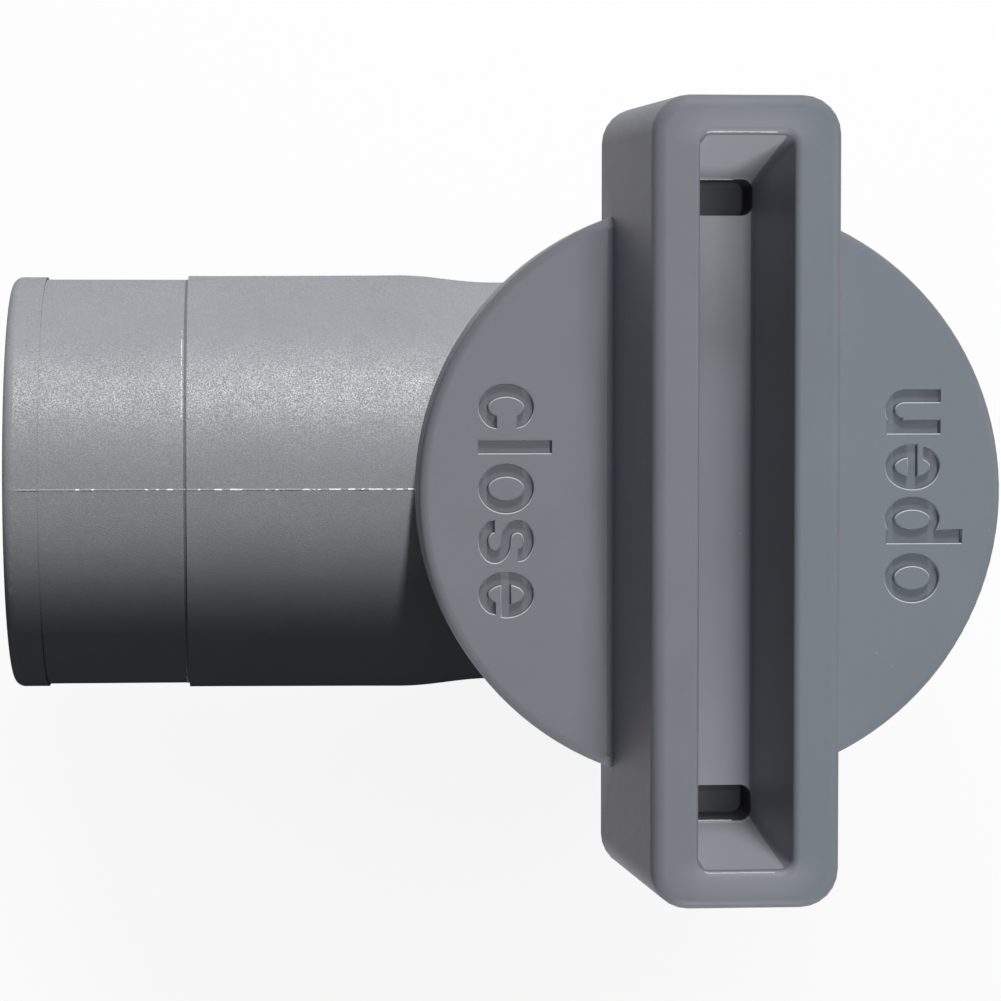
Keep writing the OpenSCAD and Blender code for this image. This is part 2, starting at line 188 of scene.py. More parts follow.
# %% [markdown]
# A finish is a network round one Principled shader, which stands for all plastics, rubbers and
# metals here. Its patterns are measured on the object itself, in millimetres from the frame's
# origin, so they stay where they are when the camera moves and when the knob turns. Painted
# pictures could do the same, but noise needs no unwrapping and stays sharp at any distance.

# %% Finishes
NOISE_SHIFT = (0.3, 0.7)


class Finish(Network):
    """One material, built round a Principled shader."""

    def __init__(self, name):
        self.material = bpy.data.materials.new(name)
        super().__init__(self.material)
        self.shader = self.tree.nodes["Principled BSDF"]
        self.place = self.node("ShaderNodeTexCoord", output="Object")

    def set(self, **values):
        for name, value in values.items():
            self.plug(self.shader.inputs[name.replace("_", " ")], value)

    def noise(self, size, detail=2.0, seed=0.0):
        """Cloudy noise whose lumps are about size millimetres across, from 0 to 1."""
        inputs = {"Vector": self.place, "Location": (seed, *NOISE_SHIFT)}
        placed = self.node("ShaderNodeMapping", {}, inputs)
        inputs = {"Vector": placed, "Scale": 1.0 / (size * MM), "Detail": detail}
        return self.node("ShaderNodeTexNoise", {}, inputs)

    def ramp(self, value, low, high):
        """Stretches a value so that low gives 0 and high gives 1, and stops there."""
        inputs = {"Value": value, "From Min": low, "From Max": high}
        return self.node("ShaderNodeMapRange", {}, inputs)

    def place_axis(self, axis):
        """One coordinate of the place, in millimetres."""
        parts = self.node("ShaderNodeSeparateXYZ", {}, {"Vector": self.place}, axis)
        return parts * (1 / MM)

    def faces(self, axis):
        """How far the surface faces along an axis of the valve, from -1 to 1."""
        facing = self.node("ShaderNodeTexCoord", output="Normal")
        return self.node("ShaderNodeSeparateXYZ", {}, {"Vector": facing}, axis)

    def bump(self, height, distance_mm):
        """Small relief, as high as distance_mm where height goes from 0 to 1."""
        inputs = {"Height": height, "Distance": distance_mm * MM}
        self.set(Normal=self.node("ShaderNodeBump", {}, inputs))


print("finishes can now be written as sums")

# %% [markdown]
# Shaders reckon with amounts of light, but a picture keeps screen values, which give dark tones
# more room: the middle grey of a screen is only a fifth of white's light. Colours are written
# here as screen values, since those can be compared with a picture, and one helper turns them
# into light.

# %% Colours
def shade(colour, factor=1.0):
    """A colour from its screen values, 0 to 255, made lighter or darker by a factor."""
    linear = [((value / 255 + 0.055) / 1.055) ** 2.4 * factor for value in colour]
    return (*linear, 1.0)


print("middle grey gives", round(shade((128, 128, 128))[0], 3), "of white's light")

# %% [markdown]
# The plastic is one grey compound, but its mouldings look different. The housing's mould was
# left with a fine grain, which glitters where the lamp is mirrored: a thin coat whose weight
# follows the grain gives that. The knob's mould was smoother, and handling has left specks.
# Grain and specks could be modelled, but they are far smaller than any edge, so noise in the
# colour, in the roughness and in a bump is enough.

# %% Moulded plastic
TONE_RANGE = (0.90, 1.10)
CLOUD_SIZE, CLOUD_SHARE = 7.0, 0.7
MOTTLE_SIZE, MOTTLE_SHARE = 0.9, 0.3
RIPPLE_SIZE, RIPPLE_RELIEF = 2.6, 0.5
PATCH_SIZE, PATCH_LEAST, PATCH_SPAN = 1.6, 0.55, 0.9
ROUGHNESS_SWING = 0.10
SPECK_SIZE, SPECK_RELIEF = 1.3, 0.6
SPECK_RADIUS = 0.06
SPECKED_AREA_SIZE = 3.4
SPECK_STRENGTH = 0.45
SPECK_GREY = (205, 205, 210)
COAT_IOR = 1.6
COAT_ROUGHNESS = 0.45
COATED_GRAIN = (0.38, 0.76)
COATED_SIDE = (-9.0, -2.0)


def moulded_plastic(
    name, colour, grain_mm, grain_height, roughness, gloss, glitter, speck_share=0.0, painted_light=None
):
    """Grey plastic with grain and specks, and a coat on the side where its grain glitters."""
    finish = Finish(name)
    cloud = finish.noise(CLOUD_SIZE, 3.0, seed=1.7)
    mottle = finish.noise(MOTTLE_SIZE, 2.0, seed=4.1)
    grain = finish.noise(grain_mm, 1.0, seed=9.3)
    ripple = finish.noise(RIPPLE_SIZE, 1.0, seed=2.2)
    darker, lighter = (shade(colour, factor) for factor in TONE_RANGE)
    tone = finish.mix(cloud * CLOUD_SHARE + mottle * MOTTLE_SHARE, darker, lighter)
    inputs = {"Vector": finish.place, "Scale": 1.0 / (SPECK_SIZE * MM)}
    from_speck = finish.node("ShaderNodeTexVoronoi", {"feature": "F1"}, inputs)
    chosen = finish.noise(SPECKED_AREA_SIZE, 0.0, seed=6.6) > 1.0 - speck_share
    speck = (from_speck < SPECK_RADIUS) * chosen
    tone = finish.mix(speck * SPECK_STRENGTH, tone, shade(SPECK_GREY))
    # painted light and shade, for the finishes that have them
    if painted_light:
        tone = painted_light(finish, tone)
    coated_side = finish.ramp(finish.place_axis(1), *COATED_SIDE)
    patches = PATCH_LEAST + PATCH_SPAN * finish.noise(PATCH_SIZE, 1.0, seed=5.5)
    finish.set(
        Base_Color=tone,
        Roughness=roughness + ROUGHNESS_SWING * (mottle - 0.5),
        Specular_IOR_Level=gloss,
        Coat_Weight=finish.ramp(grain, *COATED_GRAIN) * patches * coated_side * glitter,
        Coat_Roughness=COAT_ROUGHNESS,
        Coat_IOR=COAT_IOR,
    )
    finish.bump(grain + RIPPLE_RELIEF * ripple + SPECK_RELIEF * speck, grain_height)
    print(f"{name}: grain {grain_mm} mm wide, {grain_height} mm high")
    return finish.material


# %% [markdown]
# Painted light and shade make one grey look like several, each in its place on the knob. Its mask
# could be painted on an unwrapped mesh, but a product of comparisons with the place needs no
# unwrapping and follows the imported sizes. The broadest tones come first: painted bluish light
# turns the front faces a little bluer to the right, and painted shade makes the handle's left wall
# darker and purplish.

# %% Painted light and shade on the knob's walls
PAINTED_BLUE_LIGHT = (119, 136, 147)
WALL_SHADE_DEEP = (97, 94, 113)
WALL_SHADE_FAINT = (116, 115, 135)
FACES_FRONT = (0.5, 0.9)
FACES_LEFT = (-0.7, -0.95)
BLUE_LIGHT_ACROSS = (-12.0, 8.0)
LEFT_WALL_X = -7.0
WALL_SHADE_FADES = (15.0, 28.0)
BLUE_LIGHT_STRENGTH, WALL_SHADE_STRENGTH = 0.3, 0.6


def painted_wall_light_and_shade(finish, tone, x, y):
    """Painted bluish light on the right half in front, and painted shade on the left wall, fainter at its
    upper end.
    """
    in_front = finish.ramp(finish.faces(2), *FACES_FRONT)
    # painted light: a bluish cast that grows towards the right
    tint = finish.ramp(x, *BLUE_LIGHT_ACROSS) * in_front * BLUE_LIGHT_STRENGTH
    tone = finish.mix(tint, tone, shade(PAINTED_BLUE_LIGHT))
    # painted shade on the handle's left wall, fainter towards its upper end
    left_wall = (x < LEFT_WALL_X) * finish.ramp(finish.faces(0), *FACES_LEFT)
    wall_shade = finish.mix(finish.ramp(y, *WALL_SHADE_FADES), shade(WALL_SHADE_DEEP), shade(WALL_SHADE_FAINT))
    return finish.mix(left_wall * WALL_SHADE_STRENGTH, tone, wall_shade)


print("the bluish tint sets in at x", BLUE_LIGHT_ACROSS[0], "mm and is full at", BLUE_LIGHT_ACROSS[1], "mm")

# %% [markdown]
# Painted light makes the recess's floor and its end walls pale, most of all towards the upper
# end, and a painted highlight lies across each end of the rim. A ramp lets such painted light
# fade away, where a comparison would give it a hard edge.

# %% Painted light in the recess
PAINTED_LIGHT_GREY = (185, 188, 194)
RIM_HIGHLIGHT_GREY = (170, 172, 177)
RECESS_END = 33.0
END_WALL_FROM = 28.0
PAINTED_HALF_WIDTH = 3.45
RIM_ROUNDING = 1.2
FLOOR_ROUNDING = 0.9
UPPER_FLOOR = (6.0, 21.0)
LOWER_FLOOR = (-6.0, -21.0)
BAND_FROM, BAND_MIDDLE, BAND_TO = 29.8, 31.4, 34.3
BAND_ACROSS = (6.4, 3.0)
BAND_DEPTH = 0.7
FLOOR_PAINTED_LIGHT, UPPER_FLOOR_PAINTED_LIGHT, LOWER_FLOOR_PAINTED_LIGHT = 0.26, 0.50, 0.16
END_WALL_PAINTED_LIGHT, UPPER_WALL_PAINTED_LIGHT = 0.53, 0.18
RIM_HIGHLIGHT_STRENGTH = 0.36


def size_of(value):
    """A value without its sign."""
    return value.maths("ABSOLUTE", 0.0)


def painted_recess_light(finish, tone, x, y, z):
    """Painted light on the floor and end walls of the recess, and a painted highlight across each end of
    the rim.
    """
    across, along = size_of(x), size_of(y)
    in_recess = (z < knob_high.z - RIM_ROUNDING) * (along < RECESS_END) * (across < PAINTED_HALF_WIDTH)
    floor_light = FLOOR_PAINTED_LIGHT + UPPER_FLOOR_PAINTED_LIGHT * finish.ramp(y, *UPPER_FLOOR)
    floor_light = floor_light + LOWER_FLOOR_PAINTED_LIGHT * finish.ramp(y, *LOWER_FLOOR)
    wall_light = END_WALL_PAINTED_LIGHT + UPPER_WALL_PAINTED_LIGHT * (y > 0.0)
    on_floor = z < disc_face + FLOOR_ROUNDING
    painted_bright = in_recess * (on_floor * floor_light + (along > END_WALL_FROM) * wall_light)
    # painted light on the recess's floor and end walls
    tone = finish.mix(painted_bright, tone, shade(PAINTED_LIGHT_GREY))
    # a painted highlight across each end of the rim
    band = finish.ramp(along, BAND_TO, BAND_MIDDLE) * finish.ramp(along, BAND_FROM, BAND_MIDDLE)
    on_rim = (z > knob_high.z - BAND_DEPTH) * finish.ramp(across, *BAND_ACROSS)
    return finish.mix(band * on_rim * RIM_HIGHLIGHT_STRENGTH, tone, shade(RIM_HIGHLIGHT_GREY))


# the floor's pale tone here is painted light
print("the floor is rubbed from y", UPPER_FLOOR[0], "mm up and from", LOWER_FLOOR[0], "mm down")

# %% [markdown]
# Painted highlights make the letters' edges the palest places of all. Their mask is a thin
# band of heights just under the disc's face, and only where the cut looks up the picture, towards
# the light. Painted shade darkens the two wells.

# %% Painted highlights on the letters and painted shade in the wells
LETTER_HIGHLIGHT_GREY = (216, 218, 221)
WELL_SHADE_GREY = (26, 24, 28)
ENGRAVED_FROM, ENGRAVED_TO = 9.0, 25.2
LETTER_EDGE_FROM, LETTER_EDGE_TO = -0.13, -0.012
FACES_UP = (-0.1, 0.5)
WELL_FROM, WELL_TO = 24.8, 31.0
RECESS_HALF_WIDTH = 4.4
SHADE_DROP = 0.02
LETTER_HIGHLIGHT_STRENGTH = 0.9
WELL_SHADE_STRENGTH, WELL_SHADE_MORE_PER_MM = 0.82, 0.02


def painted_letter_highlights(finish, tone, x, y, z):
    """Painted highlights on the letters' edges, on the sides of the cuts that face up the picture."""
    reach = x * x + y * y
    lettered = (reach > ENGRAVED_FROM**2) * (reach < ENGRAVED_TO**2) * (size_of(x) > ENGRAVED_FROM)
    at_edge = (z > disc_face + LETTER_EDGE_FROM) * (z < disc_face + LETTER_EDGE_TO)
    highlit = lettered * at_edge * finish.ramp(finish.faces(1), *FACES_UP)
    # painted highlight where a cut faces up, towards the light
    return finish.mix(highlit * LETTER_HIGHLIGHT_STRENGTH, tone, shade(LETTER_HIGHLIGHT_GREY))


def painted_well_shade(finish, tone, x, y, z):
    """Painted shade in both wells, a little lighter on their left."""
    along_well = (size_of(y) > WELL_FROM) * (size_of(y) < WELL_TO)
    in_well = along_well * (size_of(x) < RECESS_HALF_WIDTH) * (z < disc_face - SHADE_DROP)
    strength = x * WELL_SHADE_MORE_PER_MM + WELL_SHADE_STRENGTH
    # painted shade in the wells
    return finish.mix(in_well * strength, tone, shade(WELL_SHADE_GREY))


def knob_painted_light(finish, tone):
    """All painted light and shade of the knob. The painted shade of the wells comes last, since it covers
    the rest.
    """
    x, y, z = (finish.place_axis(axis) for axis in range(3))
    tone = painted_wall_light_and_shade(finish, tone, x, y)
    tone = painted_recess_light(finish, tone, x, y, z)
    tone = painted_letter_highlights(finish, tone, x, y, z)
    return painted_well_shade(finish, tone, x, y, z)


print(f"wells from {WELL_FROM} to {WELL_TO} mm, words from {ENGRAVED_FROM} to {ENGRAVED_TO} mm")

# %% [markdown]
# The mould's parting line is pale where flash was trimmed off it, and painted glints make it
# bright in places. The glints could be hundreds of small pieces. Instead they are a noise above a
# limit, and something is added to it towards the knob, where the photograph shows more of them.

# %% Painted glints on the parting line
GLINT_GREY = (245, 245, 246)
GLINT_SIZE = 0.8
GLINT_LIMIT = 0.66
MORE_NEAR_KNOB = 0.24
GLINT_STRENGTH = 0.85
SEAM_END, SEAM_START = -64.0, -24.0


def painted_seam_glints(finish, tone):
    """Painted glints along the mould's seam, more of them near the knob."""
    near_knob = finish.ramp(finish.place_axis(0), SEAM_END, SEAM_START)
    glints = finish.noise(GLINT_SIZE, 1.0, seed=7.4) + MORE_NEAR_KNOB * near_knob > GLINT_LIMIT
    # painted glints on the seam
    return finish.mix(glints * GLINT_STRENGTH, tone, shade(GLINT_GREY))


print("dots between x", SEAM_END, "and", SEAM_START, "mm")

# %% [markdown]
# All mouldings share the recipe above, and each has its own grey, grain and gloss. The housing
# has no gloss under its coat, so that its dark side doesn't mirror the white floor. Flash is so
# thin that it looks whitish, and the dark strip of painted shade in a corner is dull.

# %% Greys of the mouldings
HOUSING_GREY = (126, 128, 132)
KNOB_GREY = (122, 124, 131)
FLASH_GREY = (196, 197, 200)
SEAM_GREY = (150, 151, 155)
CORNER_SHADE_GREY = (100, 101, 105)
housing_plastic = moulded_plastic(
    "housing_plastic", HOUSING_GREY, grain_mm=0.13, grain_height=0.020,
    roughness=0.44, gloss=0.0, glitter=1.0, speck_share=0.12,
)
knob_plastic = moulded_plastic(
    "knob_plastic", KNOB_GREY, grain_mm=0.30, grain_height=0.004,
    roughness=0.47, gloss=0.15, glitter=0.04, speck_share=0.30, painted_light=knob_painted_light,
)
flash_plastic = moulded_plastic(
    "flash_plastic", FLASH_GREY, grain_mm=0.20, grain_height=0.004, roughness=0.40, gloss=0.40, glitter=0.20
)
seam_plastic = moulded_plastic(
    "seam_plastic", SEAM_GREY, grain_mm=0.20, grain_height=0.004,
    roughness=0.40, gloss=0.30, glitter=0.20, painted_light=painted_seam_glints,
)
# a dark material for the strip of painted shade in the outlet step's corner
corner_shade = moulded_plastic(
    "corner_shade", CORNER_SHADE_GREY, grain_mm=0.20, grain_height=0.004, roughness=0.60, gloss=0.04, glitter=0.0
)

# %% [markdown]
# The drum and the sliding washer are an off-white slippery plastic, turned smooth. The seals
# are black rubber with a dusty bloom, and the screw and its washer are stainless steel. They
# show only through the bores, but a turned valve can be looked into. One recipe serves all
# three, since they differ only in colour, gloss, metal and the size of their clouds.

# %% Drum plastic, rubber and steel
PLAIN_RANGE = (0.86, 1.12)
PLAIN_SWING = 0.12
FINER_TIMES = 12
CLOUD_RELIEF, FINE_RELIEF = 0.6, 0.4


def plain_finish(name, colour, roughness, metallic, variation_mm, relief_mm):
    """One colour that varies a little in clouds, with a faint relief."""
    finish = Finish(name)
    cloud = finish.noise(variation_mm, 3.0, seed=3.3)
    fine = finish.noise(variation_mm / FINER_TIMES, 2.0, seed=5.2)
    darker, lighter = (shade(colour, factor) for factor in PLAIN_RANGE)
    finish.set(
        Base_Color=finish.mix(cloud, darker, lighter),
        Roughness=roughness + PLAIN_SWING * (cloud - 0.5),
        Metallic=metallic,
    )
    finish.bump(CLOUD_RELIEF * cloud + FINE_RELIEF * fine, relief_mm)
    return finish.material


DRUM_WHITE = (216, 214, 206)
RUBBER_BLACK = (38, 38, 40)
STEEL_GREY = (190, 191, 194)
drum_plastic = plain_finish(
    "drum_plastic", DRUM_WHITE, roughness=0.38, metallic=0.0, variation_mm=4.0, relief_mm=0.02
)
seal_rubber = plain_finish(
    "seal_rubber", RUBBER_BLACK, roughness=0.72, metallic=0.0, variation_mm=1.6, relief_mm=0.03
)
screw_steel = plain_finish(
    "screw_steel", STEEL_GREY, roughness=0.30, metallic=1.0, variation_mm=1.0, relief_mm=0.01
)
print("plain finishes:", drum_plastic.name, seal_rubber.name, screw_steel.name)

# %% [markdown]
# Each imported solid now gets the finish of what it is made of. The table could be read from the
# record, but written out it shows at a glance which pieces share a material.

# %% Dress the CAD nodes
NODE_FINISHES = {
    "valve_body": housing_plastic,
    "inlet_tail": housing_plastic,
    "turn_knob": knob_plastic,
    "rotor_drum": drum_plastic,
    "slide_washer": drum_plastic,
    "tail_seal_ring": seal_rubber,
    "tank_gasket": seal_rubber,
    "port_seal": seal_rubber,
    "stem_seal_ring": seal_rubber,
    "knob_screw": screw_steel,
    "screw_washer": screw_steel,
}


def dress(piece, material):
    piece.data.materials.clear()
    piece.data.materials.append(material)


for node_name, material in NODE_FINISHES.items():
    dress(nodes[node_name], material)
print("dressed", len(NODE_FINISHES), "CAD nodes")

# %% [markdown]
# Blender's meshes are made of flat faces. A moulding looks right when its rounded edges shade
# smoothly and its flat faces stay flat, so each new piece is shaded smooth, its hard edges are
# marked, and the normals are weighted towards the large faces. Subdivision would round it too,
# but it would also shrink it, and the sizes belong to the frame.

# %% Helpers for pieces
SHARP_EDGE = math.radians(32)
WELD_DISTANCE = 0.002


def add_piece(name, mesh, body, material):
    """Links a finished mesh as a piece of the valve."""
    piece = bpy.data.objects.new(name, mesh)
    bpy.context.scene.collection.objects.link(piece)
    dress(piece, material)
    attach(piece, body)
    return piece


def shade_moulded(piece):
    """Smooth rounded edges beside flat faces."""
    piece.data.shade_smooth()
    piece.data.set_sharp_from_angle(angle=SHARP_EDGE)
    weighted = piece.modifiers.new("flat faces stay flat", "WEIGHTED_NORMAL")
    weighted.keep_sharp = True


def mesh_from(name, points, faces):
    mesh = bpy.data.meshes.new(name)
    mesh.from_pydata([Vector(point) * MM for point in points], [], faces)
    mesh.validate()
    return mesh


def copy_of(node_name, name):
    """A copy of a CAD node's mesh with its seams welded, free to be worked on."""
    work = bmesh.new()
    work.from_mesh(nodes[node_name].data)
    bmesh.ops.remove_doubles(work, verts=work.verts, dist=WELD_DISTANCE * MM)
    mesh = bpy.data.meshes.new(name)
    work.to_mesh(mesh)
    work.free()
    return mesh


print("piece helpers ready")

# %% [markdown]
# The words on the disc only say what the knob does. Each letter is drawn with a few strokes,
# and a stroke is a path that is widened to both sides. As in most plain alphabets, upright
# parts are broad and level parts are thin, so the width follows the direction of the path.
# The open ends of c, e and s are cut level. Bowls are parts of ovals, so one helper draws
# them all.

# %% Pen and ovals
BROAD = 1.18
THIN = 0.86
X_HEIGHT = 5.0
STEM_TOP = 4.87
ASCENDER = 6.6
DESCENDER = -2.05
ARC_STEPS = 40
MIDDLE = X_HEIGHT / 2
REACH_V = (X_HEIGHT - THIN) / 2


def arc(centre_u, reach_u, start, stop, centre_v=MIDDLE, reach_v=REACH_V):
    """Points of an oval between two angles in degrees, anticlockwise where stop is larger."""
    steps = max(3, round(ARC_STEPS * abs(stop - start) / 360))
    turns = [math.radians(start + (stop - start) * step / steps) for step in range(steps + 1)]
    return [(centre_u + reach_u * math.cos(a), centre_v + reach_v * math.sin(a)) for a in turns]


def angle_at(v):
    """Angle in degrees at which a full letter's oval passes a height, on its right side."""
    return math.degrees(math.asin((v - MIDDLE) / REACH_V))


def stem(u, low=0.0, high=STEM_TOP):
    return ([(u, low), (u, high)], None, None)


print("a small letter is", X_HEIGHT, "mm high, with strokes", THIN, "to", BROAD, "mm broad")

# %% [markdown]
# Each letter gives its width and its strokes. A stroke is a path and the level at which each of
# its ends is cut, or None for an end that stays square. A font would bring shapes of its own,
# and the two words need only seven letters, so these are drawn after the photograph.

# %% The seven letters
def letter_c():
    low, high = 1.6, 3.5
    return 4.07, [(arc(2.14, 1.55, angle_at(high), 360 + angle_at(low)), high, low)]


def letter_e():
    bar = 2.07
    bowl = arc(2.08, 1.49, angle_at(bar), 360 + angle_at(1.5))
    return 4.1, [(bowl, bar, 1.5), ([(0.6, bar + THIN / 2), (3.6, bar + THIN / 2)], None, None)]


def letter_l():
    return BROAD, [stem(BROAD / 2, 0, ASCENDER)]


def letter_n():
    width = 4.04
    leg = width - BROAD / 2
    arch = arc((leg + 0.6) / 2 + 0.1, (leg - 0.8) / 2, 160, 0, 3.2, X_HEIGHT - THIN / 2 - 3.2)
    return width, [stem(BROAD / 2), (arch + [(leg, 2.4), (leg, 0)], None, None)]


def letter_o():
    return 4.5, [(arc(2.25, 1.66, 0, 360), None, None)]


def letter_p():
    return 4.26, [stem(BROAD / 2, DESCENDER), (arc(2.18, 1.49, 0, 360), None, None)]


def letter_s():
    upper = arc(2.0, 1.32, 8, 250, 3.53, X_HEIGHT - THIN / 2 - 3.53)
    lower = arc(2.05, 1.38, 72, -172, 1.47, 1.47 - THIN / 2)
    return 4.05, [(upper + lower, 3.6, 1.4)]


LETTERS = {
    "c": letter_c,
    "e": letter_e,
    "l": letter_l,
    "n": letter_n,
    "o": letter_o,
    "p": letter_p,
    "s": letter_s,
}
print("strokes for", "".join(LETTERS))

# %% [markdown]
# A stroke becomes a small solid by widening its path at several depths. It narrows a little
# towards its bottom, as a moulded letter must to leave its mould, and at the disc's face its
# edges are rounded, so that they catch the light. A bevelled curve would be shorter to write,
# but its ends are always square to the path, and three letters need level ones.

# %% Depths and sides of a stroke
ENGRAVED_DEPTH = 0.85
LETTER_DRAFT = 0.05
EDGE_ROUNDING = 0.12
EDGE_STEPS = 3
ABOVE_FACE = 0.5

edge_turns = [math.pi / 2 * step / EDGE_STEPS for step in range(EDGE_STEPS + 1)]
LEVELS = [(-ENGRAVED_DEPTH, -LETTER_DRAFT)]
LEVELS += [(-EDGE_ROUNDING * (1 - math.sin(a)), EDGE_ROUNDING * (1 - math.cos(a))) for a in edge_turns]
LEVELS += [(ABOVE_FACE, EDGE_ROUNDING + ABOVE_FACE)]


def rails(path, cut_first, cut_last, closed):
    """Both sides of a stroke, with the direction across it and the direction along it."""
    count = len(path)
    sections = []
    for index, point in enumerate(path):
        before = path[index - 1] if closed or index else point
        after = path[(index + 1) % count] if closed or index < count - 1 else point
        along = (after - before).normalized()
        half = THIN / 2 + (BROAD - THIN) / 2 * along.y ** 2
        side = Vector((-along.y, along.x))
        left, right = point + side * half, point - side * half
        push = Vector((0, 0))
        if not closed and index in (0, count - 1):
            level = cut_last if index else cut_first
            push = along if index else -along
            if level is not None:
                left.y = right.y = level
                push = Vector((0, math.copysign(1, push.y)))
                side = Vector((math.copysign(1, side.x), 0))
        sections.append((left, right, side, push))
    return sections


print("a stroke has", len(LEVELS), "levels, down to", ENGRAVED_DEPTH, "mm")

# %% [markdown]
# At each point of the path the levels of both sides make a ring of corners, and faces join one
# ring to the next. Two caps close the ends. A path that comes back to its start, as in an o,
# needs no caps, because its last ring is joined to its first.

# %% A stroke as a solid
def stroke_solid(work, stroke, pen, to_disc):
    """Adds one stroke to a bmesh. to_disc maps a place in the word, and a height, to the knob."""
    path, cut_first, cut_last = stroke
    closed = math.dist(path[0], path[-1]) < 1e-6
    points = [Vector(point) for point in (path[:-1] if closed else path)]
    rows = []
    for left, right, side, push in rails(points, cut_first, cut_last, closed):
        ring = [(left + (side + push) * spread, level) for level, spread in LEVELS]
        ring += [(right + (push - side) * spread, level) for level, spread in reversed(LEVELS)]
        shift = Vector((pen, 0))
        rows.append([work.verts.new(to_disc(place + shift, level) * MM) for place, level in ring])
    size = len(rows[0])
    for index in range(len(rows) if closed else len(rows) - 1):
        here, there = rows[index], rows[(index + 1) % len(rows)]
        for k in range(size):
            work.faces.new((here[k], here[(k + 1) % size], there[(k + 1) % size], there[k]))
    if not closed:
        work.faces.new(rows[0][::-1])
        work.faces.new(rows[-1])


print("strokes can be made solid")

# %% [markdown]
# The words read around the knob, one down its left side and one up its right side. Each letter
# has its own gap to the next, as a typesetter would give it. Every stroke is a cutter of its
# own, since a cutter that crosses itself would confuse the cut.

# %% The two words
def word_cutters(word, gaps, to_disc):
    """One solid for each stroke of a word, as objects that only cut."""
    cutters = []
    pen = 0.0
    for letter, gap in zip(word, gaps):
        width, strokes = LETTERS[letter]()
        for stroke in strokes:
            work = bmesh.new()
            stroke_solid(work, stroke, pen, to_disc)
            bmesh.ops.recalc_face_normals(work, faces=work.faces)
            mesh = bpy.data.meshes.new(f"cutter_{word}_{len(cutters)}")
            work.to_mesh(mesh)
            work.free()
            cutters.append(bpy.data.objects.new(mesh.name, mesh))
        pen += width + gap
    print(f"{word}: {len(cutters)} strokes, {pen:.1f} mm long")
    return cutters


CLOSE_BASELINE, CLOSE_START = -21.27, 9.96
CLOSE_GAPS = (1.05, 0.94, 0.50, 0.75, 0)
OPEN_BASELINE, OPEN_START = 21.0, -10.08
OPEN_GAPS = (0.92, 0.66, 1.02, 0)


def to_close(place, level):
    return Vector((CLOSE_BASELINE + place[1], CLOSE_START - place[0], disc_face + level))


def to_open(place, level):
    return Vector((OPEN_BASELINE - place[1], OPEN_START + place[0], disc_face + level))


cutters = word_cutters("close", CLOSE_GAPS, to_close) + word_cutters("open", OPEN_GAPS, to_open)

# %% [markdown]
# The words could be a bump in the finish, but a bump has no side walls, and the walls of these
# letters catch the light. So they are cut out of a copy of the knob's mesh. The copy replaces
# the CAD node in every picture, and the CAD node keeps its shape and still does the colliding.

# %% Engrave the knob
knob_mesh = copy_of("turn_knob", "knob_with_words")
knob = add_piece("knob_with_words", knob_mesh, "rotor", knob_plastic)
drawer = bpy.data.collections.new("cutters")
bpy.context.scene.collection.children.link(drawer)
for cutter in cutters:
    drawer.objects.link(cutter)
cut = knob.modifiers.new("engrave", "BOOLEAN")
cut.operation = "DIFFERENCE"
cut.operand_type = "COLLECTION"
cut.collection = drawer
cut.solver = "EXACT"
engraved = bpy.data.meshes.new_from_object(knob.evaluated_get(bpy.context.evaluated_depsgraph_get()))
knob.modifiers.clear()
knob.data = engraved
for cutter in cutters:
    bpy.data.objects.remove(cutter)
bpy.data.collections.remove(drawer)
dress(knob, knob_plastic)
shade_moulded(knob)
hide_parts("turn_knob")
print("knob:", len(knob.data.vertices), "vertices after engraving")

# %% [markdown]
# Smooth shading would blur two places: the rim of each letter, where the disc's flat face ends,
# and the floors and walls of the wells. The letters' rims become sharp edges, and the wells'
# faces are shaded flat. Both are found by where they lie on the knob.

# %% Sharp letters and flat wells
WELL_TOP_DROP = 0.05
SAME_HEIGHT = 0.01


def is_disc_top(face):
    height = face.calc_center_median().z / MM
    return face.normal.z > 0.9999 and abs(height - disc_face) < SAME_HEIGHT


work = bmesh.new()
work.from_mesh(knob.data)
for rim_edge in work.edges:
    middle = (rim_edge.verts[0].co + rim_edge.verts[1].co) / (2 * MM)
    tops = [is_disc_top(face) for face in rim_edge.link_faces]
    if len(set(tops)) == 2 and abs(middle.x) > ENGRAVED_FROM and middle.xy.length < ENGRAVED_TO:
        rim_edge.smooth = False
for face in work.faces:
    middle = face.calc_center_median() / MM
    in_well = WELL_FROM < abs(middle.y) < WELL_TO and abs(middle.x) < RECESS_HALF_WIDTH
    if in_well and middle.z < disc_face - WELL_TOP_DROP:
        face.smooth = False
work.to_mesh(knob.data)
work.free()
print("knob:", sum(edge.use_edge_sharp for edge in knob.data.edges), "sharp edges")

# %% [markdown]
# The housing needs no new shape, only the thin witness line where its mould halves met. The
# line is a real ridge: a strip that follows the outlet's crown and its underside, and the back
# of the chamber. Its height wanders a little, and a low place sinks into the wall, so that a
# ridge looks like flash and not like a wire. Along the outlet the ridge stays in sight.

# %% A ridge along a path
RIDGE_WIDTH = 0.22
RIDGE_HEIGHT = 0.11
RIDGE_SINK = 0.050
RIDGE_STEP = 0.14
RIDGE_ROOT = 0.05
RIDGE_TOP_SHARE = 0.35
SLOW_STEPS = 12
SLOW_SWING = 1.6
FINE_SWING = 0.7


